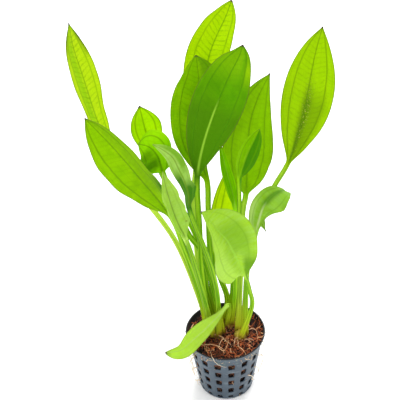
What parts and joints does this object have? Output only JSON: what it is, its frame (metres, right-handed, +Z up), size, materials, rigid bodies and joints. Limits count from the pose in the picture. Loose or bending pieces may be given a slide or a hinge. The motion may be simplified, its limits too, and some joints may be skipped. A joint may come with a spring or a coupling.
{
  "type": "potted amazon sword plant",
  "caption": "Amazon sword plant for an aquarium: long-stalked sword-shaped green leaves rising from crowns in coir, in a small tapered net pot.",
  "frame": {"origin": "centre of the pot's flat underside", "axes": "+Z up; the plant is seen from the front, which is -Y; +X is to the viewer's right"},
  "size_m": [0.1626, 0.103, 0.268],
  "materials": {
    "net_pot": "blue-grey moulded plastic, satin",
    "coir": "damp brown coir fibre",
    "crown": "living rootstock, yellow-brown, satin",
    "leaf_bright": "living leaf, bright yellow-green, satin",
    "leaf_shaded": "living leaf, deep green, satin",
    "leaf_pale": "living leaf, pale green, satin"
  },
  "bodies": {
    "root": {"net_pot": "net_pot", "coir_plug": "coir", "crown_left": "crown", "crown_middle": "crown", "crown_right": "crown", "leaf_far_left": "leaf_bright", "leaf_left_broad": "leaf_bright", "leaf_left_back_small": "leaf_bright", "leaf_left_arching": "leaf_bright", "leaf_top": "leaf_bright", "leaf_right_center": "leaf_bright", "leaf_right_tall": "leaf_bright", "leaf_back_low": "leaf_bright", "leaf_center_back": "leaf_shaded", "leaf_center_dark": "leaf_shaded", "leaf_rolled_young": "leaf_shaded", "leaf_edge_on": "leaf_shaded", "leaf_left_twisted": "leaf_pale", "leaf_left_narrow": "leaf_pale", "leaf_right_low": "leaf_pale", "leaf_front_broad": "leaf_pale", "leaf_over_rim": "leaf_pale"}
  },
  "joints": []
}
